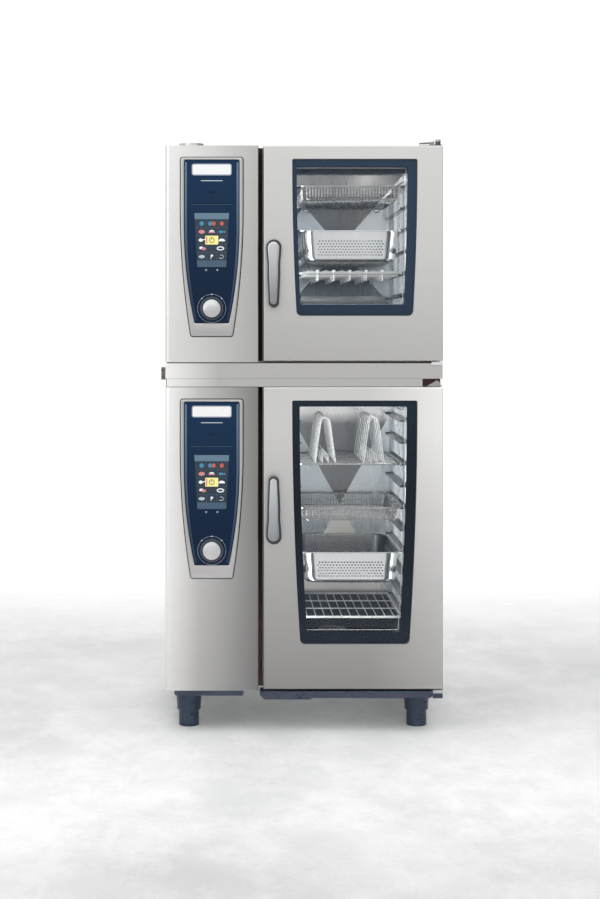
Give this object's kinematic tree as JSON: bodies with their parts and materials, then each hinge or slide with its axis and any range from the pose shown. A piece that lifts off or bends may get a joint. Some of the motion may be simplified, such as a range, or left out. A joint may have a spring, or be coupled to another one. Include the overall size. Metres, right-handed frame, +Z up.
{
  "type": "combi steamer oven",
  "caption": "Stacked pair of combi steamer ovens with glazed hinged doors, lever handles, control columns, loaded rack cavities and adjustable feet.",
  "frame": {"origin": "on the floor, in the middle of the cabinet's footprint (handles, side clamp and rear pipe stubs not counted)", "axes": "+Z up, the doors face -Y, +X to the viewer's right"},
  "size_m": [0.862, 0.87, 1.854],
  "materials": {
    "satin_stainless": "satin brushed stainless",
    "bright_stainless": "bright welded stainless liner",
    "galvanised": "galvanised sheet",
    "bezel_metal": "satin silver lacquer",
    "fascia_blue": "glossy dark blue film",
    "screen": "lit touch screen",
    "dial_silver": "satin silver knob",
    "handle_grey": "grey lever with a silver inlay",
    "door_glass": "toughened glass with a printed dark blue border",
    "inner_glass": "clear toughened glass",
    "seal_rubber": "black silicone",
    "anthracite": "dark blue-grey moulding",
    "mineral_wool": "needled mineral wool",
    "board_green": "circuit board",
    "motor_grey": "cast motor housing",
    "heater_dark": "oxidised heater sheath",
    "lamp_glass": "frosted lamp cover",
    "wire_chrome": "polished stainless wire",
    "sheet_tray": "polished gastronorm sheet",
    "zinc_screws": "zinc-plated screws"
  },
  "bodies": {
    "cabinet": {"base_pans": "galvanised", "base_rails": "anthracite", "casing_screws": "zinc_screws", "cavity_lamps": "lamp_glass", "control_bezels": "bezel_metal", "control_boards": "board_green", "control_fascias": "fascia_blue", "displays": "screen", "door_seals": "seal_rubber", "drip_tray": "anthracite", "exhaust_pipe": "satin_stainless", "fan_baffles": "bright_stainless", "fan_motors": "motor_grey", "foot_sockets": "anthracite", "fry_baskets": "wire_chrome", "heater_coils": "heater_dark", "hinge_brackets": "satin_stainless", "insulation_jackets": "mineral_wool", "latch_keepers": "bright_stainless", "lower_casing": "satin_stainless", "lower_cavity": "bright_stainless", "lower_column_front": "satin_stainless", "lower_header": "satin_stainless", "lower_poultry_rack": "wire_chrome", "lower_racks": "bright_stainless", "lower_wire_grid": "wire_chrome", "perforated_pans": "sheet_tray", "rear_connectors": "galvanised", "rear_panels": "galvanised", "stack_frame": "satin_stainless", "stack_side_clamp": "anthracite", "steam_generators": "bright_stainless", "upper_casing": "satin_stainless", "upper_cavity": "bright_stainless", "upper_column_front": "satin_stainless", "upper_racks": "bright_stainless", "upper_spike_rack": "wire_chrome"},
    "upper_door": {"upper_door_shell": "satin_stainless", "upper_door_outer_glass": "door_glass", "upper_door_inner_frame": "satin_stainless", "upper_door_inner_glass": "inner_glass"},
    "upper_handle": {"upper_handle_lever": "handle_grey", "upper_latch_spindle": "bright_stainless"},
    "upper_dial_push": {"upper_dial_plunger": "galvanised"},
    "upper_dial": {"upper_dial_knob": "dial_silver"},
    "upper_fan": {"upper_fan_wheel": "bright_stainless"},
    "lower_door": {"lower_door_shell": "satin_stainless", "lower_door_outer_glass": "door_glass", "lower_door_inner_frame": "satin_stainless", "lower_door_inner_glass": "inner_glass"},
    "lower_handle": {"lower_handle_lever": "handle_grey", "lower_latch_spindle": "bright_stainless"},
    "lower_dial_push": {"lower_dial_plunger": "galvanised"},
    "lower_dial": {"lower_dial_knob": "dial_silver"},
    "lower_fan": {"lower_fan_wheel": "bright_stainless"},
    "foot_front_left": {"foot_front_left": "anthracite"},
    "foot_front_right": {"foot_front_right": "anthracite"},
    "foot_rear_left": {"foot_rear_left": "anthracite"},
    "foot_rear_right": {"foot_rear_right": "anthracite"}
  },
  "joints": [
    {"name": "upper_door_swing", "type": "hinge", "parent": "cabinet", "child": "upper_door", "pos_m": [0.4115, -0.359, 1.4575], "axis": [0, 0, 1], "range_deg": [0, 180]},
    {"name": "upper_handle_turn", "type": "hinge", "parent": "upper_door", "child": "upper_handle", "pos_m": [-0.0928, -0.4, 1.477], "axis": [0, 1, 0], "range_deg": [-40, 40], "stiffness_Nm_per_rad": 4},
    {"name": "upper_dial_press", "type": "slide", "parent": "cabinet", "child": "upper_dial_push", "axis": [0, 1, 0], "range_m": [0, 0.002], "stiffness_N_per_m": 1500},
    {"name": "upper_dial_turn", "type": "hinge", "parent": "upper_dial_push", "child": "upper_dial", "pos_m": [-0.2815, -0.4, 1.291], "axis": [0, 1, 0], "continuous": true},
    {"name": "upper_fan_spin", "type": "hinge", "parent": "cabinet", "child": "upper_fan", "pos_m": [-0.107, -0.02, 1.508], "axis": [1, 0, 0], "continuous": true},
    {"name": "lower_door_swing", "type": "hinge", "parent": "cabinet", "child": "lower_door", "pos_m": [0.4115, -0.359, 0.5885], "axis": [0, 0, 1], "range_deg": [0, 180]},
    {"name": "lower_handle_turn", "type": "hinge", "parent": "lower_door", "child": "lower_handle", "pos_m": [-0.0928, -0.4, 0.599], "axis": [0, 1, 0], "range_deg": [-40, 40], "stiffness_Nm_per_rad": 4},
    {"name": "lower_dial_press", "type": "slide", "parent": "cabinet", "child": "lower_dial_push", "axis": [0, 1, 0], "range_m": [0, 0.002], "stiffness_N_per_m": 1500},
    {"name": "lower_dial_turn", "type": "hinge", "parent": "lower_dial_push", "child": "lower_dial", "pos_m": [-0.2815, -0.4, 0.554], "axis": [0, 1, 0], "continuous": true},
    {"name": "lower_fan_spin", "type": "hinge", "parent": "cabinet", "child": "lower_fan", "pos_m": [-0.107, -0.02, 0.631], "axis": [1, 0, 0], "continuous": true},
    {"name": "foot_front_left_height", "type": "slide", "parent": "cabinet", "child": "foot_front_left", "axis": [0, 0, -1], "range_m": [0, 0.025]},
    {"name": "foot_front_right_height", "type": "slide", "parent": "cabinet", "child": "foot_front_right", "axis": [0, 0, -1], "range_m": [0, 0.025]},
    {"name": "foot_rear_left_height", "type": "slide", "parent": "cabinet", "child": "foot_rear_left", "axis": [0, 0, -1], "range_m": [0, 0.025]},
    {"name": "foot_rear_right_height", "type": "slide", "parent": "cabinet", "child": "foot_rear_right", "axis": [0, 0, -1], "range_m": [0, 0.025]}
  ]
}
